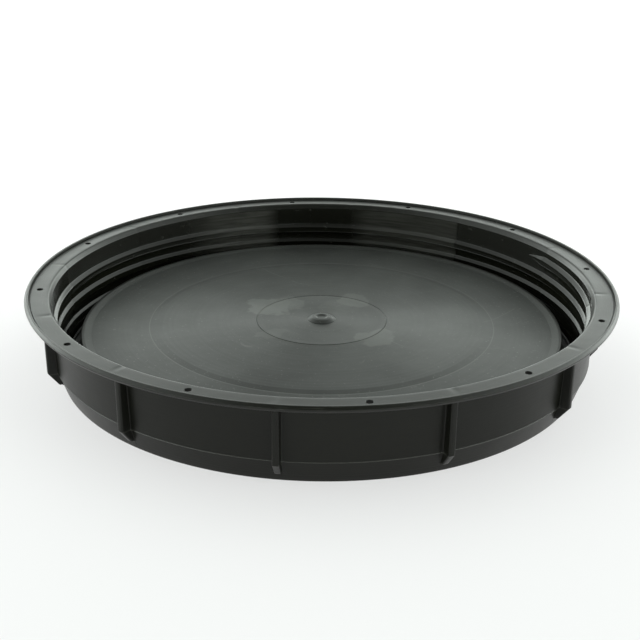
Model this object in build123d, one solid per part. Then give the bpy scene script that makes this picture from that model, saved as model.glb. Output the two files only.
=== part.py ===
"""Screw lid of a wide-mouth plastic chemical drum, lying upside down, with its loose sealing ring.

Millimetres. +Z is up, the origin is on the lid's axis, in the plane that the lid rests on.
The lid's open side, with its internal thread, faces up. Angles run anticlockwise from +X,
seen from above.
"""

import os
from math import radians, tan

from build123d import *

# ---- driving dimensions: the lid's outside ----
FLANGE_R = 403.2          # the lid's largest radius, at the nose of its edge
NOSE_Z = 111.0            # height of that nose
NOSE_IN = 2.4             # radius lost from the nose down to the flange's underside
HEIGHT = 115.0            # from the rest plane to the top of the lip
LIP_TOP_R = 400.2         # outer edge of the lip's top, which slopes down to the nose
LIP_H = 3.6               # how far the lip stands above the flange's face
LIP_T = 2.8               # radial thickness of the lip at its top
FLANGE_T = 4.4            # thickness of the flange
RELIEF_W = 1.8            # groove at the foot of the lip
RELIEF_D = 1.4
SKIRT_TOP_R = 373.8       # outer radius of the skirt, just under the flange
SKIRT_DRAFT = 0.03        # radius lost for each millimetre of depth, outside and inside
KNUCKLE_Z = 30.2          # where the skirt steps in and turns towards its foot
KNUCKLE_STEP = 0.9        # depth and height of that step
FOOT_R = 361.3            # outer radius at the rest plane
FOOT_FILLET = 3.0

# ---- the lid's inside ----
MOUTH_R = 372.0           # inner edge of the flange's face
MOUTH_FILLET = 4.5
MOUTH_BEVEL = 7.0         # depth of the bevel below that edge
WALL_TOP_R = 368.2        # radius of the inner wall below the bevel
WALL_FOOT_Z = 29.0        # where the inner wall turns in
MOAT_TOP_R = 360.2        # radius at the foot of the inner wall's conical band
MOAT_TOP_Z = 19.0
MOAT_FLOOR_R = 359.4
FLOOR_T = 5.0             # thickness of the moat's floor
PLATEAU_R = 334.0         # outer radius of the raised centre
PLATEAU_DRAFT = 0.03
RIM_Z = 51.8              # top of the rim round the plateau
RIM_W = 4.6               # width of that rim
RIM_FOOT_R = 320.0        # foot of the slope inside the rim
PANEL_Z = 50.0            # face of the plateau
STEP_OUT_R = 240.5        # step up to the middle of the plateau
STEP_IN_R = 229.0
STEP_H = 1.0
PANEL_T = 4.6             # wall thickness of the plateau
SIDE_T = 4.2              # wall thickness of the plateau's side
GATE_R = 20.0             # moulding gate at the centre
GATE_TOP_R = 15.5
GATE_H = 4.0
GATE_DIMPLE_R = 8.0
GATE_DIMPLE_D = 1.6

# ---- thread: one right-hand start ----
PITCH = 25.0
TURNS = 2.7
CREST_R = 362.4
START_ANGLE = 28.4        # tip of the thread's start, nearest the mouth
START_Z = 89.1            # middle of the ridge's crest where its full section begins
CREST_HALF = 4.1          # half the width of the crest
BASE_UP = 7.7             # from the crest's middle to the ridge's upper edge on the wall
BASE_DOWN = 6.5           # and to its lower edge
LEAD_ANGLE = 3.4          # the thread tapers to nothing over this angle at each end
LEAD_TIP = 0.12           # share of the full section left at the very tip
BURY = 1.6                # how far the ridge's base lies inside the wall

# ---- ribs and holes round the lid ----
RIB_COUNT = 12
RIB_ANGLE = 22.55         # the first rib, and the others 30 degrees apart
RIB_W = 8.4
RIB_R = 384.6             # outer radius of the ribs
RIB_BEND_Z = 31.4         # where a rib's outer face turns in
RIB_FOOT_Z = 13.6         # underside of a rib
RIB_FOOT_R = 371.0
RIB_ROUND = 2.2
RIB_BURY = 2.0            # how far a rib reaches into the wall
RIB_ROOT_R = 363.4        # inner end of a rib's foot, inside the wall
HOLE_R = 4.25
HOLE_PITCH_R = 384.4
HOLE_ANGLE = 7.75         # the first hole, nearly midway between two ribs

# ---- sealing ring ----
RING_IN_R = 338.5
RING_OUT_R = 357.4
RING_BODY_T = 6.8
BEAD_W = 4.0              # width of each bead at its foot
BEAD_H = 4.6              # outer bead, above the ring's body
BEAD_SLOPE = 0.6          # width lost on each side up to its top
INNER_BEAD_H = 2.2
INNER_BEAD_SLOPE = 1.0
BEAD_INSET = 1.0          # from the ring's outer edge to the outer bead
BEAD_PITCH = 9.0          # between the outer bead and the inner one

FACE_Z = HEIGHT - LIP_H
FLANGE_Z = FACE_Z - FLANGE_T


def turned(corners):
    """Revolve a closed outline of (radius, height, fillet) corners round the lid's axis."""
    points = [(r, 0, z) for r, z, _ in corners]
    outline = FilletPolyline(*points, radius=[f for _, _, f in corners], close=True)
    return revolve(make_face(outline.edges()), axis=Axis.Z)


def wall_radius(z):
    """Radius of the inner wall at height z, between the bevel and the conical band."""
    return WALL_TOP_R - SKIRT_DRAFT * (FACE_Z - MOUTH_BEVEL - z)


def skirt_radius(z):
    """Outer radius of the skirt at height z, above its knuckle."""
    return SKIRT_TOP_R - SKIRT_DRAFT * (FLANGE_Z - z)


def body():
    """The lid without its thread, ribs, holes and gate."""
    skirt_knuckle_r = skirt_radius(KNUCKLE_Z)
    plateau_foot_r = PLATEAU_R + PLATEAU_DRAFT * (RIM_Z - FLOOR_T)
    under_top_r = PLATEAU_R - SIDE_T
    under_foot_r = plateau_foot_r - SIDE_T
    panel_under = PANEL_Z - PANEL_T
    lip_in_r = LIP_TOP_R - LIP_T
    relief_in_r = lip_in_r - RELIEF_W
    return turned([
        # lip, groove and face of the flange
        (LIP_TOP_R, HEIGHT, 0.6),
        (lip_in_r, HEIGHT, 0.8),
        (lip_in_r - 0.3, FACE_Z - RELIEF_D, 0.5),
        (relief_in_r, FACE_Z - RELIEF_D, 0.5),
        (relief_in_r - 0.3, FACE_Z, 0.4),
        (MOUTH_R, FACE_Z, MOUTH_FILLET),
        # bevel, inner wall, conical band and moat
        (WALL_TOP_R, FACE_Z - MOUTH_BEVEL, 1.0),
        (wall_radius(WALL_FOOT_Z), WALL_FOOT_Z, 1.5),
        (MOAT_TOP_R, MOAT_TOP_Z, 1.5),
        (MOAT_FLOOR_R, FLOOR_T, 1.5),
        (plateau_foot_r, FLOOR_T, 1.5),
        # plateau: rim, slope, panel and step
        (PLATEAU_R, RIM_Z, 2.0),
        (PLATEAU_R - RIM_W, RIM_Z, 1.5),
        (RIM_FOOT_R, PANEL_Z, 2.0),
        (STEP_OUT_R, PANEL_Z, 2.0),
        (STEP_IN_R, PANEL_Z + STEP_H, 2.0),
        (0, PANEL_Z + STEP_H, 0),
        # underside, the same wall thickness all over
        (0, panel_under + STEP_H, 0),
        (STEP_IN_R, panel_under + STEP_H, 2.0),
        (STEP_OUT_R, panel_under, 2.0),
        (RIM_FOOT_R, panel_under, 2.0),
        (PLATEAU_R - RIM_W - 2.0, RIM_Z - PANEL_T, 1.5),
        (under_top_r, RIM_Z - PANEL_T, 1.5),
        (under_foot_r, 0, 2.0),
        # foot, skirt and underside of the flange
        (FOOT_R, 0, FOOT_FILLET),
        (skirt_knuckle_r - KNUCKLE_STEP, KNUCKLE_Z - KNUCKLE_STEP, 0.5),
        (skirt_knuckle_r, KNUCKLE_Z, 0.5),
        (SKIRT_TOP_R, FLANGE_Z, 2.0),
        (FLANGE_R - NOSE_IN, FLANGE_Z, 1.2),
        (FLANGE_R, NOSE_Z, 1.5),
    ])


def ridge_section(angle, z, size):
    """Face across the thread at an angle, with its ridge at a fraction of the full size."""
    root = wall_radius(z) + BURY
    crest = wall_radius(z) - (wall_radius(z) - CREST_R) * size
    corners = [
        (root, 0, z + BASE_UP * size + BURY / 2),
        (crest, 0, z + CREST_HALF * size),
        (crest, 0, z - CREST_HALF * size),
        (root, 0, z - BASE_DOWN * size - BURY / 2),
    ]
    face = make_face(Polyline(*corners, close=True).edges())
    return face.rotate(Axis.Z, angle)


def thread():
    """The ridge of the thread, swept up a helix, and a tapered lead at each end of it."""
    rise = PITCH * TURNS
    foot_z = START_Z - rise
    foot_angle = START_ANGLE - LEAD_ANGLE - 360 * TURNS
    helix = Helix(PITCH, rise, CREST_R).rotate(Axis.Z, foot_angle).translate((0, 0, foot_z))
    ridge = sweep(ridge_section(foot_angle, foot_z, 1.0), path=helix.edges()[0], is_frenet=True)
    slope = PITCH * LEAD_ANGLE / 360
    leads = []
    for angle, z, way in ((foot_angle, foot_z, -1), (foot_angle + 360 * TURNS, START_Z, 1)):
        wide = ridge_section(angle, z, 1.0)
        tip = ridge_section(angle + way * LEAD_ANGLE, z + way * slope, LEAD_TIP)
        leads.append(loft([wide, tip], ruled=True))
    return [ridge] + leads


def rib(angle):
    """One upright rib on the skirt, from the flange down to its chamfered foot."""
    top = FLANGE_Z + 1.0
    corners = [
        (skirt_radius(top) - RIB_BURY, top),
        (RIB_R, top),
        (RIB_R, RIB_BEND_Z),
        (RIB_FOOT_R, RIB_FOOT_Z),
        (RIB_ROOT_R, RIB_FOOT_Z),
        (skirt_radius(KNUCKLE_Z) - RIB_BURY, KNUCKLE_Z),
    ]
    side = make_face(Polyline(*[(r, 0, z) for r, z in corners], close=True).edges())
    block = extrude(side, amount=RIB_W / 2, dir=(0, 1, 0), both=True)
    outer = block.edges().filter_by(Axis.Z).sort_by(Axis.X)[-2:]
    return fillet(outer, RIB_ROUND).rotate(Axis.Z, angle)


def gate():
    """The low button that the moulding gate leaves at the centre, with its dimple."""
    z = PANEL_Z + STEP_H
    return turned([
        (0, z - 1.0, 0),
        (GATE_R, z - 1.0, 0),
        (GATE_R, z, 0),
        (GATE_TOP_R, z + GATE_H, 1.5),
        (GATE_DIMPLE_R, z + GATE_H, 1.0),
        (GATE_DIMPLE_R - 2.0, z + GATE_H - GATE_DIMPLE_D, 0.8),
        (0, z + GATE_H - GATE_DIMPLE_D, 0),
    ])


def hole(angle):
    """The cutter for one of the small holes through the flange."""
    cutter = Cylinder(HOLE_R, 4 * FLANGE_T)
    return cutter.translate((HOLE_PITCH_R, 0, FACE_Z - FLANGE_T / 2)).rotate(Axis.Z, angle)


def lid():
    """The whole lid, one moulding."""
    shape = body() + gate()
    for piece in thread():
        shape = shape + piece
    for k in range(RIB_COUNT):
        shape = shape + rib(RIB_ANGLE + k * 360 / RIB_COUNT)
    for k in range(RIB_COUNT):
        shape = shape - hole(HOLE_ANGLE + k * 360 / RIB_COUNT)
    return shape.clean()


def sealing_ring():
    """The rubber ring that lies in the moat, with two raised sealing beads."""
    top = FLOOR_T + RING_BODY_T
    outer_bead = RING_OUT_R - BEAD_INSET
    inner_bead = outer_bead - BEAD_PITCH
    return turned([
        (RING_IN_R, FLOOR_T, 0.8),
        (RING_OUT_R, FLOOR_T, 0.8),
        (RING_OUT_R, top, 0.4),
        (outer_bead, top, 0.3),
        (outer_bead - BEAD_SLOPE, top + BEAD_H, 1.0),
        (outer_bead - BEAD_W + BEAD_SLOPE, top + BEAD_H, 1.0),
        (outer_bead - BEAD_W, top, 0.6),
        (inner_bead, top, 0.4),
        (inner_bead - INNER_BEAD_SLOPE, top + INNER_BEAD_H, 0.8),
        (inner_bead - BEAD_W + INNER_BEAD_SLOPE, top + INNER_BEAD_H, 0.8),
        (inner_bead - BEAD_W, top, 0.4),
        (RING_IN_R, top, 0.8),
    ])


os.makedirs("parts", exist_ok=True)
export_step(lid(), "parts/lid_moulding.step")
export_step(sealing_ring(), "parts/sealing_ring.step")
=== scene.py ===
"""Looks of the drum lid: its moulding and sealing ring as fine meshes with procedural plastics.

Every length in the dimension blocks is in millimetres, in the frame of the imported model:
+Z is up, the origin is on the lid's axis in the plane it rests on.
"""

import math

import bmesh
import bpy
import numpy as np
from mathutils import Matrix, Vector


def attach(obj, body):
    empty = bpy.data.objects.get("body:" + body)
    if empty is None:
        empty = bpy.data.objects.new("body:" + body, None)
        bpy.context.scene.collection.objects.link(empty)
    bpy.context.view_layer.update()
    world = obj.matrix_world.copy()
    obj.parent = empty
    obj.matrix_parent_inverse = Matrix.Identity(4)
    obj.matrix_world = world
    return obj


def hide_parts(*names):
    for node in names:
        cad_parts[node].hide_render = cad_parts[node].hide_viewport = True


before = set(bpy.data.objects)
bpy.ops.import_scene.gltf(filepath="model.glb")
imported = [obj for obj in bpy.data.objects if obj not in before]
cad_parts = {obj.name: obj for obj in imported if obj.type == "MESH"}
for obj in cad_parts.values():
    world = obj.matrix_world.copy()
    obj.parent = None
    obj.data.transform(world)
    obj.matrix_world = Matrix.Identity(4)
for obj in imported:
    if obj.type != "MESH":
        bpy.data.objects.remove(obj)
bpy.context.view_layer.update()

MM = 0.001

# ---- flange, lip and skirt ----
FLANGE_R = 403.2          # at the nose of its edge, which slopes in above and below it
NOSE_Z = 111.0
NOSE_IN = 2.4
HEIGHT = 115.0
LIP_TOP_R = 400.2
LIP_H = 3.6
LIP_T = 2.8
FLANGE_T = 4.4
RELIEF_W = 1.8
RELIEF_D = 1.4
SKIRT_TOP_R = 373.8
SKIRT_FILLET = 2.0
DRAFT = 0.03
KNUCKLE_Z = 30.2
KNUCKLE_STEP = 0.9
FOOT_R = 361.3
SEAM_H = 0.4              # bead that the mould's parting line leaves along the knuckle
FACE_Z = HEIGHT - LIP_H
FLANGE_Z = FACE_Z - FLANGE_T
# heights of the mesh's rows on the skirt, and below its knuckle, where most are at the ribs' feet
SKIRT_ROWS = (98, 84, 68, 52, 40, 34.5)
FOOT_ROWS = (24.0, 18.5, 15.4, 14.3, 13.75, 13.6, 13.55, 13.3, 12.8, 7.0)

# ---- inside ----
MOUTH_R = 372.0
MOUTH_FILLET = 3.2
MOUTH_BEVEL = 7.0
WALL_TOP_R = 368.2
WALL_TOP_Z = FACE_Z - MOUTH_BEVEL
WALL_END_Z = WALL_TOP_Z - 1.5     # where the mesh of the wall meets that of the bevel
WALL_FOOT_Z = 29.0
MOAT_TOP_R = 360.2
MOAT_TOP_Z = 19.0
MOAT_END_Z = MOAT_TOP_Z - 2.0     # where the mesh of the moat meets that of the wall
MOAT_FLOOR_R = 359.4
FLOOR_T = 5.0
PLATEAU_R = 334.0
RIM_Z = 51.8
RIM_W = 4.6
RIM_FOOT_R = 320.0
PLATEAU_FOOT_R = PLATEAU_R + DRAFT * (RIM_Z - FLOOR_T)
FOOT_RING_R = RIM_FOOT_R + 30.0   # where the meshes of the skirt and the underside meet
PANEL_Z = 50.0
STEP_OUT_R = 240.5
STEP_IN_R = 229.0
STEP_H = 1.0
STEP_EDGE_W = 1.2         # steeper edges of the step: width and depth
STEP_EDGE_D = 0.05
PANEL_T = 4.6
SIDE_T = 4.2
INSERT_R = 92.0           # witness line of the mould's centre insert
WITNESS_D = 0.6
GATE_R = 20.0
GATE_TOP_R = 15.5
GATE_H = 4.0
GATE_DIMPLE_R = 8.0
GATE_DIMPLE_D = 1.6

# ---- thread ----
PITCH = 25.0
CREST_R = 362.4
START_ANGLE = 26.0
START_Z = 89.2
END_TURNS = 2.73          # from the thread's start down to its end in the moat
CELLS = range(1, -5, -1)  # turns that the mesh's rows follow, from above the wall to below it
LEAD_ANGLE = 6.0
# the ridge across the thread: height above the middle of its crest, and share of its full rise
RIDGE = (
    (8.4, 0.0), (7.1, 0.12), (4.7, 0.82), (4.3, 0.95), (3.9, 1.0), (3.3, 0.95), (0.0, 0.93),
    (-3.3, 0.95), (-3.9, 1.0), (-4.3, 0.94), (-4.6, 0.80), (-6.1, 0.12), (-7.2, 0.0),
)
VALLEY = -12.5            # a row between one ridge and the next

# ---- ribs and holes ----
RIB_COUNT = 12
RIB_ANGLE = 22.55
RIB_R = 384.6
RIB_BEND_Z = 31.4
RIB_FOOT_Z = 13.6
RIB_FOOT_R = 371.0
# the fillet at a rib's root: distance from the rib's middle, and height above the skirt
RIB_ROOT = ((6.8, 0.0), (5.3, 0.2), (4.7, 0.65), (4.45, 1.4))
# the rounding of a rib's outer edge: distance from its middle, and depth below its outer face
RIB_EDGE = ((4.2, 2.3), (3.95, 1.2), (3.3, 0.42), (2.2, 0.0), (0.0, 0.0))
RIB_EDGE_D = 2.3
RIB_CORNER = 2.0          # how far the corners of a rib's foot are rounded up
# the rounding of a rib's toe: how far its last two rows are drawn in, and how far the next is out
RIB_TOE = (0.35, 0.9, 0.8)
COLUMNS_BETWEEN = 19      # columns of the mesh from one rib to the next
RIB_MARGIN = 0.9          # from a rib's root to the first of them
HOLE_R = 4.25
HOLE_SINK = 0.45
HOLE_PITCH_R = 384.4
HOLE_ANGLE = 7.75
HOLE_PATCH = 6.6          # half the size of the patch of flange that a hole is cut in
HOLE_CLEAR_R = 8.2        # faces of the flange nearer to a hole than this are remade
HOLE_SIDES = 28
RIB_END_R = HOLE_PITCH_R + HOLE_PATCH + 4.0   # where a rib runs out under the flange
SINK_D = 0.38             # sink marks over the ribs
SINK_W = 4.2
SINK_END_R = RIB_R + 4.0  # where they end on the flange's face
SINK_FADE = 6.0
FLAT_D = 0.35             # how far the wall is flattened from one rib to the next
BEVEL_SHARE = 0.8         # share of the wall's marks that the bevel shows
MARKS_FOOT_Z = MOAT_TOP_Z + 2.0   # the wall's marks begin here, and are whole MARKS_FADE higher
MARKS_FADE = 12.0

# ---- sealing ring ----
RING_IN_R = 338.5
RING_OUT_R = 357.4
RING_BODY_T = 6.8
RING_SEAM_R = RING_IN_R + 5.0     # where the outline begins and ends, on the ring's underside
BEAD_W = 4.0
BEAD_H = 4.6
BEAD_SLOPE = 0.6
INNER_BEAD_H = 2.2
INNER_BEAD_SLOPE = 1.0
BEAD_INSET = 1.0
BEAD_PITCH = 9.0

# ---- mesh ----
MERGE = 0.0005 * MM       # points nearer to each other than this are one
SLIVER = 0.0001 * MM
ROW_SNAP = 0.15           # rows of the thread this near to the wall's ends are moved to them
ROW_MERGE = 0.03 * MM     # rows of the thread nearer to each other than this are one
SHARP_ANGLE = 32          # edges that turn more than this many degrees stay sharp

# ---- light: radiance of the surroundings and of the table ----
HORIZON = 1.22
LOW_SKY = 3.1             # how much brighter the last degrees above the horizon are
ZENITH = 0.60
SIDES = 1.95
BEHIND_CAMERA = 0.12
STUDIO_TINT = (0.93, 1.0, 0.95, 1)
FLOOR_GLOW = (0.55, 0.72)         # at the table's near side and far side
FLOOR_GLOW_Y = (-0.9, 1.2)
FLOOR_R = 14.0

# ---- camera ----
LENS = 61.06
CAMERA_AT = (-0.00224, -1.42305, 0.63289)
CAMERA_AHEAD = (0, 0.92519, -0.37951)
CAMERA_ROLL = 0.543       # degrees


# ------------------------------------------------------------------ outlines
def rounded(corners, step=24.0):
    """Points (radius, height) of an open outline given as (radius, height, fillet) corners."""
    points = []
    for i, (r, z, fillet) in enumerate(corners):
        at = Vector((r, z))
        if fillet == 0 or i in (0, len(corners) - 1):
            points.append(at)
            continue
        back = (Vector(corners[i - 1][:2]) - at).normalized()
        ahead = (Vector(corners[i + 1][:2]) - at).normalized()
        turn = math.pi - back.angle(ahead)
        reach = fillet * math.tan(turn / 2)
        centre = at + (back + ahead).normalized() * fillet / math.cos(turn / 2)
        count = max(2, math.ceil(math.degrees(turn) / step))
        first = at + back * reach - centre
        side = 1 if first.x * ahead.y - first.y * ahead.x > 0 else -1
        for k in range(count + 1):
            a = side * turn * k / count
            c, s = math.cos(a), math.sin(a)
            points.append(centre + Vector((first.x * c - first.y * s, first.x * s + first.y * c)))
    return [(p.x, p.y) for p in points]


def wall_radius(z):
    """Radius of the inner wall at height z, were it to go on for ever."""
    return WALL_TOP_R - DRAFT * (WALL_TOP_Z - z)


def skirt_radius(z):
    """Radius of the plain skirt above its knuckle."""
    return SKIRT_TOP_R - DRAFT * (FLANGE_Z - z)


def plateau_rows():
    """Upper face from the centre out to the plateau's rim, and down into the moat."""
    top = PANEL_Z + STEP_H
    return rounded([
        (0, top + GATE_H - GATE_DIMPLE_D, 0),
        (GATE_DIMPLE_R - 2.2, top + GATE_H - GATE_DIMPLE_D, 3.0),
        (GATE_DIMPLE_R + 0.4, top + GATE_H, 3.0),
        (GATE_TOP_R - 2.0, top + GATE_H - 0.7, 4.0),
        (GATE_R - 0.7, top + 0.5, 0.8),
        (GATE_R, top - 0.35, 0),
        (GATE_R + 0.8, top, 0),
        (50, top, 0),
        (INSERT_R - 0.8, top, 0),
        (INSERT_R - 0.4, top - WITNESS_D, 0),
        (INSERT_R + 0.4, top - WITNESS_D, 0),
        (INSERT_R + 0.9, top, 0),
        (140, top, 0),
        (185, top, 0),
        (STEP_IN_R, top, 0.6),
        (STEP_IN_R + STEP_EDGE_W, top - STEP_EDGE_D, 0.6),
        (STEP_OUT_R - STEP_EDGE_W, PANEL_Z + STEP_EDGE_D, 0.6),
        (STEP_OUT_R, PANEL_Z, 0.6),
        (280, PANEL_Z, 0),
        (RIM_FOOT_R, PANEL_Z, 3.0),
        (PLATEAU_R - RIM_W, RIM_Z, 1.5),
        (PLATEAU_R, RIM_Z, 1.8),
        (PLATEAU_FOOT_R, FLOOR_T, 1.5),
        (MOAT_FLOOR_R, FLOOR_T, 1.5),
        (MOAT_TOP_R, MOAT_END_Z, 0),
    ])


def wall_rows():
    """Inner wall from the moat up to just below the bevel, without its thread."""
    return rounded([
        (MOAT_TOP_R, MOAT_END_Z, 0),
        (MOAT_TOP_R, MOAT_TOP_Z, 1.5),
        (wall_radius(WALL_FOOT_Z), WALL_FOOT_Z, 1.5),
        (wall_radius(WALL_END_Z), WALL_END_Z, 0),
    ])


def flange_rows():
    """Bevel, face of the flange, groove and lip, and round the nose to the flange's underside."""
    lip_in_r = LIP_TOP_R - LIP_T
    groove_r = lip_in_r - RELIEF_W
    return rounded([
        (wall_radius(WALL_END_Z), WALL_END_Z, 0),
        (WALL_TOP_R, WALL_TOP_Z, 1.2),
        (MOUTH_R, FACE_Z, MOUTH_FILLET),
        (HOLE_PITCH_R - HOLE_PATCH, FACE_Z, 0),
        (HOLE_PITCH_R, FACE_Z, 0),
        (HOLE_PITCH_R + HOLE_PATCH, FACE_Z, 0),
        (groove_r - 0.3, FACE_Z, 0.5),
        (groove_r, FACE_Z - RELIEF_D, 0.4),
        (lip_in_r - 0.3, FACE_Z - RELIEF_D, 0.4),
        (lip_in_r, HEIGHT, 0.8),
        (LIP_TOP_R, HEIGHT, 0.6),
        (FLANGE_R, NOSE_Z, 1.5),
        (FLANGE_R - NOSE_IN, FLANGE_Z, 1.2),
        (RIB_END_R, FLANGE_Z, 0),
    ])


def skirt_rows():
    """Underside of the flange, skirt and foot, without the ribs."""
    knuckle_r = skirt_radius(KNUCKLE_Z)
    slope = (knuckle_r - KNUCKLE_STEP - FOOT_R) / (KNUCKLE_Z - KNUCKLE_STEP)
    return rounded([
        (RIB_END_R, FLANGE_Z, 0),
        (HOLE_PITCH_R + HOLE_PATCH, FLANGE_Z, 0),
        (HOLE_PITCH_R, FLANGE_Z, 0),
        (HOLE_PITCH_R - HOLE_PATCH, FLANGE_Z, 0),
        (SKIRT_TOP_R, FLANGE_Z, SKIRT_FILLET),
        *[(skirt_radius(z), z, 0) for z in SKIRT_ROWS],
        (skirt_radius(KNUCKLE_Z + 1.6), KNUCKLE_Z + 1.6, 0),
        (knuckle_r + SEAM_H * 0.1, KNUCKLE_Z + 0.9, 0),
        (knuckle_r + SEAM_H * 0.6, KNUCKLE_Z + 0.6, 0),
        (knuckle_r + SEAM_H, KNUCKLE_Z + 0.1, 0),
        (knuckle_r + SEAM_H * 0.6, KNUCKLE_Z - 0.4, 0),
        (knuckle_r - KNUCKLE_STEP, KNUCKLE_Z - KNUCKLE_STEP, 0),
        *[(FOOT_R + slope * z, z, 0) for z in FOOT_ROWS],
        (FOOT_R, 0, 3.0),
        (FOOT_RING_R, 0, 0),
    ])


def underside_rows():
    """From the foot ring in under the plateau, to the centre."""
    under = PANEL_Z - PANEL_T
    return rounded([
        (FOOT_RING_R, 0, 0),
        (PLATEAU_FOOT_R - SIDE_T, 0, 2.0),
        (PLATEAU_R - SIDE_T, RIM_Z - PANEL_T, 1.5),
        (PLATEAU_R - RIM_W - 2.0, RIM_Z - PANEL_T, 1.5),
        (RIM_FOOT_R, under, 2.0),
        (280, under, 0),
        (STEP_OUT_R, under, 2.0),
        (STEP_IN_R, under + STEP_H, 2.0),
        (150, under + STEP_H, 0),
        (60, under + STEP_H, 0),
        (0, under + STEP_H, 0),
    ])


# ------------------------------------------------------------------ columns round the lid
def columns():
    """Arrays over the mesh's columns: angle, and distance to the nearest rib, both in degrees;
    how far a rib's outer face is rounded back there; and the most that the rib may stand out.
    """
    pitch = 360 / RIB_COUNT
    ring_r = (SKIRT_TOP_R + RIB_R) / 2
    edge = math.degrees((RIB_ROOT[0][0] + RIB_MARGIN) / ring_r)
    half = [(-edge, 0.0, 0.0)]
    half += [(-math.degrees(t / ring_r), 0.0, rise) for t, rise in RIB_ROOT]
    half += [(-math.degrees(t / ring_r), depth, RIB_R) for t, depth in RIB_EDGE]
    sector = half + [(-offset, depth, rise) for offset, depth, rise in reversed(half[:-1])]
    gap = pitch - 2 * edge
    between = COLUMNS_BETWEEN + 1
    sector += [(edge + gap * (k + 1) / between, 0.0, 0.0) for k in range(COLUMNS_BETWEEN)]
    every = [((RIB_ANGLE + n * pitch + offset) % 360, depth, rise)
             for n in range(RIB_COUNT) for offset, depth, rise in sector]
    angle, depth, rise = np.array(sorted(every)).T
    away = (angle - RIB_ANGLE + pitch / 2) % pitch - pitch / 2
    return angle, away, depth, rise


ANGLE, FROM_RIB, RIB_DEPTH, RIB_RISE = columns()
DIRECTION = np.stack([np.cos(np.radians(ANGLE)), np.sin(np.radians(ANGLE))], axis=1)


def sink():
    """Depth of the sink mark over a rib, from 0 to SINK_D, at each column."""
    across = np.radians(FROM_RIB) * SKIRT_TOP_R / SINK_W
    return SINK_D * np.exp(-across ** 2)


def flattening():
    """How far the wall bows inwards between two ribs, at each column."""
    half = 180 / RIB_COUNT
    return FLAT_D * (1 - (1 - np.abs(FROM_RIB) / half) ** 2)


def wall_shift(z):
    """Outward shift of the inner wall at heights z, one row of them for each column."""
    fade = np.clip((z - MARKS_FOOT_Z) / MARKS_FADE, 0, 1)
    return fade * (sink() - flattening())[:, None]


def rib_reach(r, z):
    """How far a rib stands out where the plain skirt has radius r at height z."""
    root = SKIRT_TOP_R + SKIRT_FILLET
    full = RIB_R - SKIRT_TOP_R
    if z > FLANGE_Z - 0.01:
        return full * min(1.0, (RIB_END_R - r) / (RIB_END_R - root))
    if z > FLANGE_Z - SKIRT_FILLET - 0.1:
        return full
    if z > RIB_BEND_Z:
        return RIB_R - r
    if z > RIB_FOOT_Z + 0.1:
        along = (z - RIB_FOOT_Z) / (RIB_BEND_Z - RIB_FOOT_Z)
        drawn_in = RIB_TOE[0] if z < RIB_FOOT_Z + 0.3 else 0
        return RIB_FOOT_R + (RIB_R - RIB_FOOT_R) * along - r - drawn_in
    if z > RIB_FOOT_Z - 0.02:
        return RIB_FOOT_R - RIB_TOE[1] - r
    if z > RIB_FOOT_Z - 0.1:
        return RIB_TOE[2]
    return 0.0


def ribbed(r, z):
    """Radius and height arrays of the skirt with its ribs, from those of the plain skirt."""
    reach = np.array([rib_reach(*p) for p in zip(r[0], z[0])])[None, :]
    foot = (z > RIB_FOOT_Z - 1.0) & (z < RIB_FOOT_Z + 2.0)
    lifted = z + foot * RIB_CORNER * (RIB_DEPTH[:, None] / RIB_EDGE_D) ** 2
    return r + np.clip(reach - RIB_DEPTH[:, None], 0, RIB_RISE[:, None]), lifted


# ------------------------------------------------------------------ mesh building
def turned(rows):
    """Arrays of radius and height over (column, row), from one list of (radius, height) rows."""
    r, z = np.array(rows).T
    return np.tile(r, (len(ANGLE), 1)), np.tile(z, (len(ANGLE), 1))


def spun(rows):
    """Grid of points, one column for each angle, from (radius, height) rows."""
    return placed(*turned(rows))


def placed(r, z):
    """Points in metres for arrays of radius and height over (column, row)."""
    xy = r[:, :, None] * DIRECTION[:, None, :]
    return np.concatenate([xy, z[:, :, None]], axis=2) * MM


def add_grid(bm, points, offset=0):
    """Add a grid that closes on itself. At the seam, row j + offset joins row j."""
    count, rows = points.shape[:2]
    verts = [[bm.verts.new(p) for p in column] for column in points]
    for c in range(count):
        here, there = verts[c], verts[(c + 1) % count]
        here = here[offset:] if c == count - 1 else here
        for j in range(min(len(here), rows) - 1):
            bm.faces.new((here[j], here[j + 1], there[j + 1], there[j]))


def thread_size(unwrapped):
    """Share of the ridge's full size at an unwrapped angle, with a tapered lead at each end."""
    end = START_ANGLE - 360 * END_TURNS
    lead = np.clip((START_ANGLE + LEAD_ANGLE / 2 - unwrapped) / LEAD_ANGLE, 0, 1)
    tail = np.clip((unwrapped - end) / LEAD_ANGLE, 0, 1)
    return np.minimum(lead ** 0.8, tail)


def thread_heights(base_z, middle, size):
    """Heights of the rows in each column, downwards: those across every turn, and base_z."""
    above = np.array([height for height, _ in RIDGE] + [VALLEY])
    spread = np.where(above > VALLEY, size[:, :, None], 1.0)
    z = (middle[:, :, None] + above * spread).reshape(len(ANGLE), -1)
    low, high = base_z[0], base_z[-1]
    z = np.where(z > high - ROW_SNAP, high, np.where(z < low + ROW_SNAP, low, z))
    fixed = np.tile(base_z, (len(ANGLE), 1))
    return -np.sort(-np.concatenate([z, fixed], axis=1), axis=1)


def ridge_radius(z, middle, size):
    """Radius at heights z of the thread's ridge, and of the plain wall away from the ridge."""
    above, share = np.array(RIDGE[::-1]).T
    plain = wall_radius(z)
    ridge = plain.copy()
    for k in range(len(CELLS)):
        scale = np.maximum(size[:, k:k + 1], 1e-6)
        rise = np.interp((z - middle[:, k:k + 1]) / scale, above, share, left=0, right=0)
        ridge = np.minimum(ridge, plain - rise * scale * (plain - CREST_R))
    return ridge


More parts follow.
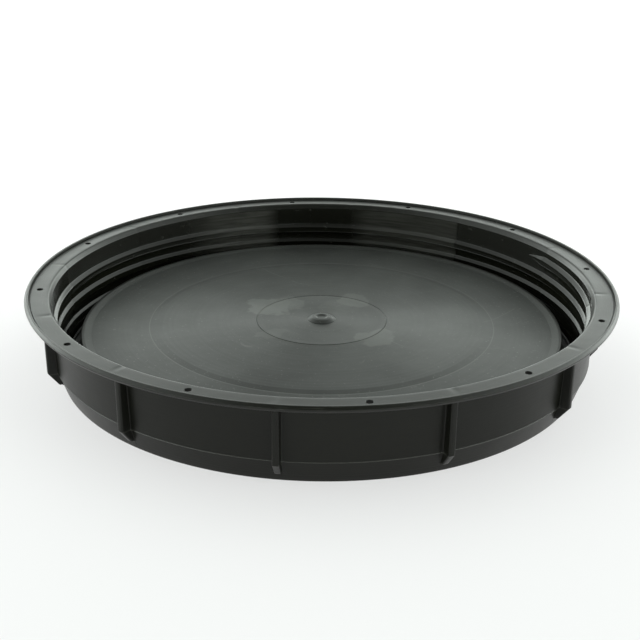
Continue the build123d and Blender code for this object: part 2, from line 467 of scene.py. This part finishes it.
def thread_grid():
    """Inner wall with its thread, and the number of rows that follow one turn of the ridge."""
    base_r, base_z = np.array(wall_rows()).T
    unwrapped = ANGLE[:, None] + 360 * np.array(CELLS)[None, :]
    middle = START_Z + PITCH * (unwrapped - START_ANGLE) / 360
    size = thread_size(unwrapped)
    z = thread_heights(base_z, middle, size)
    plain = np.interp(z, base_z, base_r)
    ridge = ridge_radius(z, middle, size)
    r = np.minimum(plain, np.where(ridge < wall_radius(z) - 1e-6, ridge, plain))
    return placed(r + wall_shift(z), z), len(RIDGE) + 1


def flange_grid():
    """Bevel, flange and lip, with the marks that the ribs behind them leave."""
    r, z = turned(flange_rows())
    bevel = (z < FACE_Z - 0.5) & (r < MOUTH_R)
    share = np.where(z > WALL_TOP_Z, BEVEL_SHARE, 1.0) * bevel
    face = np.clip((SINK_END_R - r) / SINK_FADE, 0, 1) * (abs(z - FACE_Z + 0.2) < 0.4)
    return placed(r + share * wall_shift(z), z - face * sink()[:, None])


def lid_mesh():
    """The whole moulding as one closed mesh."""
    bm = bmesh.new()
    wall, turn = thread_grid()
    add_grid(bm, wall, offset=turn)
    bmesh.ops.remove_doubles(bm, verts=bm.verts, dist=ROW_MERGE)
    add_grid(bm, spun(plateau_rows()))
    add_grid(bm, flange_grid())
    add_grid(bm, placed(*ribbed(*turned(skirt_rows()))))
    add_grid(bm, spun(underside_rows()))
    bmesh.ops.remove_doubles(bm, verts=bm.verts, dist=MERGE)
    bmesh.ops.dissolve_degenerate(bm, edges=bm.edges, dist=SLIVER)
    bmesh.ops.recalc_face_normals(bm, faces=bm.faces)
    cut_holes(bm)
    return finished(bm, "lid")


def cut_holes(bm):
    """The twelve small holes through the flange."""
    for k in range(RIB_COUNT):
        angle = math.radians(HOLE_ANGLE + k * 360 / RIB_COUNT)
        centre = Vector((math.cos(angle), math.sin(angle), 0)) * HOLE_PITCH_R * MM
        above = open_patch(bm, centre, FACE_Z * MM, (HOLE_R + HOLE_SINK) * MM)
        below = open_patch(bm, centre, FLANGE_Z * MM, HOLE_R * MM)
        neck = ring_of_verts(bm, centre, (FACE_Z - HOLE_SINK) * MM, HOLE_R * MM)
        for a, b in ((above, neck), (neck, below)):
            for i in range(HOLE_SIDES):
                j = (i + 1) % HOLE_SIDES
                bm.faces.new((a[i], a[j], b[j], b[i]))
    bmesh.ops.recalc_face_normals(bm, faces=bm.faces)


def ring_of_verts(bm, centre, z, r):
    """New vertices round a hole."""
    turns = [2 * math.pi * i / HOLE_SIDES for i in range(HOLE_SIDES)]
    return [bm.verts.new((centre.x + r * math.cos(t), centre.y + r * math.sin(t), z)) for t in turns]


def open_patch(bm, centre, z, r):
    """Take out the faces round a hole in the plane z and fill up to its edge."""
    near = [f for f in bm.faces if abs(f.calc_center_median().z - z) < 0.01 * MM
            and (f.calc_center_median().xy - centre.xy).length < HOLE_CLEAR_R * MM]
    edges = list(dict.fromkeys(e for f in near for e in f.edges))
    border = [e for e in edges if sum(f in near for f in e.link_faces) == 1]
    bmesh.ops.delete(bm, geom=near, context="FACES_ONLY")
    inner = [e for e in edges if e.is_valid and not e.link_faces]
    lone = dict.fromkeys(v for e in inner for v in e.verts)
    ring = ring_of_verts(bm, centre, z, r)
    loop = [bm.edges.new((ring[i - 1], ring[i])) for i in range(HOLE_SIDES)]
    bmesh.ops.delete(bm, geom=inner, context="EDGES")
    bmesh.ops.triangle_fill(bm, use_beauty=True, edges=border + loop)
    for v in lone:
        if v.is_valid and not v.link_faces:
            bm.verts.remove(v)
    return ring


def finished(bm, name):
    """Object from a bmesh, smooth with its sharp edges kept."""
    mesh = bpy.data.meshes.new(name)
    bm.to_mesh(mesh)
    bm.free()
    mesh.validate()
    obj = bpy.data.objects.new(name, mesh)
    bpy.context.scene.collection.objects.link(obj)
    for polygon in mesh.polygons:
        polygon.use_smooth = True
    mesh.set_sharp_from_angle(angle=math.radians(SHARP_ANGLE))
    weigh = obj.modifiers.new("normals", "WEIGHTED_NORMAL")
    weigh.mode = "FACE_AREA"
    weigh.keep_sharp = True
    return obj


def ring_mesh():
    """The loose sealing ring with its two beads."""
    top = FLOOR_T + RING_BODY_T
    outer = RING_OUT_R - BEAD_INSET
    inner = outer - BEAD_PITCH
    rows = rounded([
        (RING_SEAM_R, FLOOR_T, 0),
        (RING_OUT_R, FLOOR_T, 0.8),
        (RING_OUT_R, top, 0.4),
        (outer, top, 0.3),
        (outer - BEAD_SLOPE, top + BEAD_H, 1.0),
        (outer - BEAD_W + BEAD_SLOPE, top + BEAD_H, 1.0),
        (outer - BEAD_W, top, 0.6),
        (inner, top, 0.4),
        (inner - INNER_BEAD_SLOPE, top + INNER_BEAD_H, 0.8),
        (inner - BEAD_W + INNER_BEAD_SLOPE, top + INNER_BEAD_H, 0.8),
        (inner - BEAD_W, top, 0.4),
        (RING_IN_R, top, 0.8),
        (RING_IN_R, FLOOR_T, 0.8),
        (RING_SEAM_R, FLOOR_T, 0),
    ])
    bm = bmesh.new()
    add_grid(bm, spun(rows))
    bmesh.ops.remove_doubles(bm, verts=bm.verts, dist=MERGE)
    bmesh.ops.recalc_face_normals(bm, faces=bm.faces)
    return finished(bm, "seal")


# ------------------------------------------------------------------ materials
CLEAN = (0.0023, 0.0024, 0.0014, 1), (0.0037, 0.0039, 0.0025, 1)
HAZY = (0.0070, 0.0078, 0.0066, 1), (0.0190, 0.0205, 0.0185, 1)
# pale colour for the moulding's and wall's marks: real rubs and scuffs, and painted highlights and
# painted sheen
WEAR_AND_SHEEN = (0.036, 0.036, 0.032, 1)
# pale colour for the panel's marks: real scratches and dust, and painted sheen and a painted
# highlight
DUST_AND_SHEEN = (0.105, 0.110, 0.100, 1)
RUBBER = (0.010, 0.010, 0.010, 1), (0.022, 0.022, 0.021, 1)
TABLE = (0.25, 0.247, 0.25, 1), (0.26, 0.257, 0.26, 1)
TURNED_R = 322.0          # the rings of turning marks on the panel fade out beyond this
TURNING_D = 0.14 * MM     # depth of the mould's turning marks, and of the waves in its surface
WAVE_D = 0.3 * MM
# painted sheen: pale patches on the panel where it reflects more: place in mm, radius, and how pale
SHEEN_PATCHES = ((-76, 46, 34, 0.30), (-50, 56, 26, 0.20), (46, 72, 24, 0.26), (22, 48, 26, 0.10),
           (74, -64, 28, 0.24), (-66, -60, 22, 0.12))
# sectors of the inner wall painted paler as sheen, where it reflects more: where each fades in and
# out, in degrees, and how pale
SHEEN_SECTORS = ((52.6, 53.2, 77.0, 83.5, 0.55), (101.0, 106.0, 112.0, 130.0, 0.95))


class Nodes:
    """Short ways to add shader nodes to the node tree of a material or of the world."""

    def __init__(self, owner, place="Object"):
        owner.use_nodes = True
        self.owner = owner
        self.tree = owner.node_tree
        self.place = self.tree.nodes.new("ShaderNodeTexCoord").outputs[place]
        split = self.tree.nodes.new("ShaderNodeSeparateXYZ")
        self.link(self.place, split.inputs[0])
        self.x, self.y, self.z = split.outputs

    def link(self, a, b):
        self.tree.links.new(a, b)

    def put(self, value, socket):
        if isinstance(value, bpy.types.NodeSocket):
            self.link(value, socket)
        else:
            socket.default_value = value

    def math(self, kind, a, b=0.0):
        node = self.tree.nodes.new("ShaderNodeMath")
        node.operation = kind
        for socket, value in zip(node.inputs, (a, b)):
            self.put(value, socket)
        return node.outputs[0]

    def times(self, a, b):
        return self.math("MULTIPLY", a, b)

    def apart(self, a, b):
        """Distance between two numbers."""
        return self.math("ABSOLUTE", self.math("SUBTRACT", a, b))

    def step(self, value, low, high, start=0.0, end=1.0):
        """Smooth ramp of value from low to high, giving start to end."""
        node = self.tree.nodes.new("ShaderNodeMapRange")
        node.interpolation_type = "SMOOTHSTEP"
        for socket, v in zip(node.inputs, (value, low, high, start, end)):
            self.put(v, socket)
        return node.outputs[0]

    def vector(self, x, y, z):
        node = self.tree.nodes.new("ShaderNodeCombineXYZ")
        for socket, v in zip(node.inputs, (x, y, z)):
            self.put(v, socket)
        return node.outputs[0]

    def length(self, vector):
        node = self.tree.nodes.new("ShaderNodeVectorMath")
        node.operation = "LENGTH"
        self.link(vector, node.inputs[0])
        return node.outputs["Value"]

    def noise(self, scale, detail=3.0, rough=0.5, at=None, distortion=0.0):
        node = self.tree.nodes.new("ShaderNodeTexNoise")
        self.link(at or self.place, node.inputs["Vector"])
        node.inputs["Scale"].default_value = scale
        node.inputs["Detail"].default_value = detail
        node.inputs["Roughness"].default_value = rough
        node.inputs["Distortion"].default_value = distortion
        return node.outputs[0]

    def bump(self, height, distance, normal=None):
        node = self.tree.nodes.new("ShaderNodeBump")
        node.inputs["Distance"].default_value = distance
        self.link(height, node.inputs["Height"])
        if normal is not None:
            self.link(normal, node.inputs["Normal"])
        return node.outputs[0]

    def colour(self, dark, light, factor):
        node = self.tree.nodes.new("ShaderNodeMix")
        node.data_type = "RGBA"
        self.put(dark, node.inputs[6])
        self.put(light, node.inputs[7])
        self.put(factor, node.inputs[0])
        return node.outputs[2]

    def radius(self):
        """Distance from the object's axis."""
        square = self.math("ADD", self.times(self.x, self.x), self.times(self.y, self.y))
        return self.math("SQRT", square)

    def shade(self, socket, value):
        """Give a socket of the material's shader a value or a link."""
        self.put(value, self.tree.nodes["Principled BSDF"].inputs[socket])


def turning_marks(n, radius):
    """Pattern of fine lines: rings on the panel, and lines round everything else."""
    panel = n.step(radius, (TURNED_R + 8) * MM, TURNED_R * MM)
    rings = n.noise(1.0, detail=6, rough=0.7, at=n.vector(n.times(radius, 130), 0.0, 0.0))
    along = n.vector(n.times(n.z, 500), 0.0, n.times(radius, 60))
    lines = n.noise(1.0, detail=3, at=along)
    return n.math("ADD", n.times(rings, panel), n.times(lines, n.math("SUBTRACT", 1.0, panel)))


def plastic(name, base, pale_wear_and_sheen, marks, ior, rough, stretch):
    """Semi-gloss black polyethylene. The mould's turning marks stretch its reflections."""
    n = Nodes(bpy.data.materials.new(name))
    radius = n.radius()
    turning = turning_marks(n, radius)
    normal = n.bump(turning, TURNING_D)
    n.shade("Normal", n.bump(n.noise(28, detail=2), WAVE_D, normal=normal))
    mottle = n.math("ADD", n.times(turning, 0.35), n.times(n.noise(9, detail=5), 0.85))
    colour = n.colour(*base, n.step(mottle, 0.35, 0.85))
    # the pale colour goes where the marks are: real wear, scratches and dust, and painted highlights
    # and painted sheen
    n.shade("Base Color", n.colour(colour, pale_wear_and_sheen, marks(n, radius)))
    n.shade("Roughness", n.step(mottle, 0.35, 0.85, rough + 0.03, rough - 0.03))
    n.shade("IOR", ior)
    n.shade("Anisotropic", stretch)
    n.shade("Anisotropic Rotation", 0.25)
    tangent = n.tree.nodes.new("ShaderNodeTangent")
    tangent.direction_type = "RADIAL"
    tangent.axis = "Z"
    n.shade("Tangent", tangent.outputs[0])
    return n.owner


def sheen_patches(n):
    """How pale the painted sheen on the panel is: soft patches with ragged edges."""
    ragged = n.times(n.math("SUBTRACT", n.noise(26, detail=3, rough=0.55), 0.5), 0.06)
    pale = 0.0
    for x, y, size, strength in SHEEN_PATCHES:
        across = n.vector(n.math("SUBTRACT", n.x, x * MM), n.math("SUBTRACT", n.y, y * MM), 0.0)
        reach = n.math("ADD", n.length(across), ragged)
        patch = n.step(reach, (size + 2) * MM, (size - 3) * MM, 0, strength)
        pale = n.math("MAXIMUM", patch, pale)
    return n.times(pale, n.step(n.noise(24, detail=5), 0.3, 0.6, 0.6, 1.0))


def panel_marks_and_sheen(n, radius):
    """Where the panel is paler: painted sheen patches, hairline scratches, specks of dust, and a
    painted highlight along the edge of the step.
    """
    # painted sheen patches
    pale = sheen_patches(n)
    vein = n.apart(n.noise(5, detail=0, distortion=0.8), 0.5)
    broken = n.step(n.noise(13, detail=1), 0.60, 0.66, 0, 0.30)
    scratch = n.times(n.step(vein, 0.0030, 0.0008), broken)
    speck = n.step(n.noise(330, detail=0), 0.77, 0.81, 0, 0.35)
    # painted highlight: a pale line painted along the step's outer edge
    step_edge = n.apart(radius, (STEP_OUT_R + 0.6) * MM)
    step_edge = n.step(step_edge, 1.0 * MM, 0.4 * MM, 0, 0.25)
    return n.math("MAXIMUM", n.math("MAXIMUM", pale, step_edge), n.math("MAXIMUM", scratch, speck))


def flange_rubs_and_highlights(n, radius):
    """Where the outside is paler: rubs along the flange, and painted highlights along the parting
    line and on the lip's top edge.
    """
    angle = n.math("ARCTAN2", n.y, n.x)
    along = n.vector(n.times(angle, 16), n.times(radius, 900), n.times(n.z, 900))
    rub = n.step(n.noise(1.0, detail=5, rough=0.65, at=along), 0.56, 0.70, 0, 0.5)
    rub = n.times(rub, n.step(n.z, 100 * MM, 108 * MM))
    # painted highlight: a pale line painted along the parting line at the knuckle
    seam = n.step(n.apart(n.z, (KNUCKLE_Z + 0.1) * MM), 1.2 * MM, 0.4 * MM, 0, 0.5)
    # painted highlight: the top of the lip painted paler
    lip = n.step(n.z, (HEIGHT - 0.9) * MM, (HEIGHT - 0.2) * MM, 0, 0.10)
    return n.math("MAXIMUM", rub, n.math("MAXIMUM", seam, lip))


def wall_scuffs_and_sheen(n, radius):
    """Where the wall is paler: painted sheen in sectors of the thread where the wall reflects more,
    and scuffs along the wall.
    """
    angle = n.times(n.math("ARCTAN2", n.y, n.x), 180 / math.pi)
    # painted sheen: these sectors are painted paler where the wall reflects more
    pale_wear_and_sheen = 0.0
    for begin, whole, going, end, strength in SHEEN_SECTORS:
        sector = n.times(n.step(angle, begin, whole), n.step(angle, end, going, 0, strength))
        pale_wear_and_sheen = n.math("MAXIMUM", pale_wear_and_sheen, sector)
    stripe = n.noise(1.0, detail=4, at=n.vector(n.times(n.z, 330), n.times(angle, 0.12), 0.0))
    sheen = n.times(pale_wear_and_sheen, n.step(stripe, 0.30, 0.68, 0.45, 1.0))
    flat = n.vector(n.times(angle, 0.5), 0.0, n.times(n.z, 160))
    scuff = n.step(n.noise(1.0, detail=6, rough=0.7, at=flat), 0.60, 0.72, 0, 0.8)
    return n.times(n.math("MAXIMUM", sheen, scuff), n.step(n.z, 105 * MM, 102 * MM))


def finish_lid(lid):
    """Give the lid its finishes: moulding, inner wall, turned panel and the insert at its centre."""
    moulding, wall, panel, insert = range(4)
    for material in (
        plastic("lid_plastic", CLEAN, WEAR_AND_SHEEN, flange_rubs_and_highlights, ior=1.29, rough=0.36, stretch=0.0),
        plastic("lid_wall", CLEAN, WEAR_AND_SHEEN, wall_scuffs_and_sheen, ior=1.26, rough=0.20, stretch=0.0),
        plastic("lid_panel", HAZY, DUST_AND_SHEEN, panel_marks_and_sheen, ior=1.30, rough=0.43, stretch=0.65),
        plastic("lid_insert", HAZY, DUST_AND_SHEEN, panel_marks_and_sheen, ior=1.30, rough=0.42, stretch=0.40),
    ):
        lid.data.materials.append(material)
    for face in lid.data.polygons:
        radius, z = face.center.xy.length / MM, face.center.z / MM
        inwards = face.normal.xy.dot(face.center.xy) < 0
        face.material_index = moulding
        if z > PANEL_Z - 1 and radius < PLATEAU_R - RIM_W - 1:
            face.material_index = insert if radius < INSERT_R else panel
        elif inwards and CREST_R - 1 < radius < WALL_TOP_R + 0.3:
            face.material_index = wall


def ring_rubber():
    """Matt black rubber with a faint bloom."""
    n = Nodes(bpy.data.materials.new("ring_rubber"))
    n.shade("Base Color", n.colour(*RUBBER, n.noise(40, detail=4)))
    n.shade("Roughness", n.step(n.noise(60), 0.3, 0.7, 0.55, 0.68))
    n.shade("Normal", n.bump(n.noise(1800, detail=2), 0.03 * MM))
    n.shade("IOR", 1.5)
    return n.owner


def floor_white():
    """White acrylic table, lit softly from below."""
    n = Nodes(bpy.data.materials.new("floor_white"))
    n.shade("Base Color", n.colour(*TABLE, n.noise(0.7)))
    n.shade("Roughness", 0.8)
    n.shade("Specular IOR Level", 0.1)
    n.shade("Emission Color", (1.0, 1.0, 1.0, 1))
    n.shade("Emission Strength", n.step(n.y, *FLOOR_GLOW_Y, *FLOOR_GLOW))
    return n.owner


# ------------------------------------------------------------------ stage, lights and camera
def stage():
    """Floor that runs far behind the object."""
    bm = bmesh.new()
    bmesh.ops.create_circle(bm, cap_ends=True, segments=96, radius=FLOOR_R)
    mesh = bpy.data.meshes.new("floor")
    bm.to_mesh(mesh)
    bm.free()
    floor = bpy.data.objects.new("floor", mesh)
    bpy.context.scene.collection.objects.link(floor)
    mesh.materials.append(floor_white())


def softbox(name, place, target, size, power):
    """Rectangular area light that faces target."""
    data = bpy.data.lights.new(name, "AREA")
    data.shape = "RECTANGLE"
    data.size, data.size_y = size
    data.energy = power
    light = bpy.data.objects.new(name, data)
    bpy.context.scene.collection.objects.link(light)
    light.location = place
    aim = Vector(target) - Vector(place)
    light.rotation_mode = "QUATERNION"
    light.rotation_quaternion = aim.to_track_quat("-Z", "Y")


def surroundings():
    """White cyclorama: bright near the horizon, dim overhead and behind the camera."""
    world = bpy.data.worlds.new("studio")
    bpy.context.scene.world = world
    n = Nodes(world, "Generated")
    glow = n.step(n.z, 0.55, 0.95, HORIZON, ZENITH)
    low = n.step(n.z, 0.34, 0.20, 1.0, LOW_SKY)
    side = n.step(n.math("ABSOLUTE", n.x), 0.0, 0.5, 1.0, SIDES)
    front = n.times(n.step(n.z, 0.08, 0.25), n.step(n.y, -0.3, -0.75))
    dim = n.step(front, 0.0, 1.0, 1.0, BEHIND_CAMERA)
    level = n.times(n.times(glow, low), n.times(side, dim))
    background = world.node_tree.nodes["Background"]
    background.inputs["Color"].default_value = STUDIO_TINT
    n.link(level, background.inputs["Strength"])


def studio():
    """Surroundings, and a large soft light above and behind."""
    surroundings()
    softbox("top", place=(0.0, 1.2, 2.6), target=(0, 0, 0), size=(3.0, 2.0), power=6)
    bpy.context.scene.view_settings.view_transform = "Standard"


def camera():
    """Camera at the viewing angle of the reference."""
    data = bpy.data.cameras.new("camera")
    data.lens = LENS
    data.sensor_width = 36.0
    data.clip_end = 100
    cam = bpy.data.objects.new("camera", data)
    bpy.context.scene.collection.objects.link(cam)
    bpy.context.scene.camera = cam
    right, ahead, place = Vector((1, 0, 0)), Vector(CAMERA_AHEAD), Vector(CAMERA_AT)
    up = right.cross(ahead)
    roll = math.radians(CAMERA_ROLL)
    side = math.cos(roll) * right + math.sin(roll) * up
    top = -math.sin(roll) * right + math.cos(roll) * up
    axes = Matrix((side, top, -ahead)).transposed()
    cam.matrix_world = Matrix.Translation(place) @ axes.to_4x4()


# ------------------------------------------------------------------ assembly
camera()
lid = lid_mesh()
finish_lid(lid)
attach(lid, "lid")
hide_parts("lid_moulding")

seal = ring_mesh()
seal.data.materials.append(ring_rubber())
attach(seal, "ring")
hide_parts("sealing_ring")

stage()
studio()
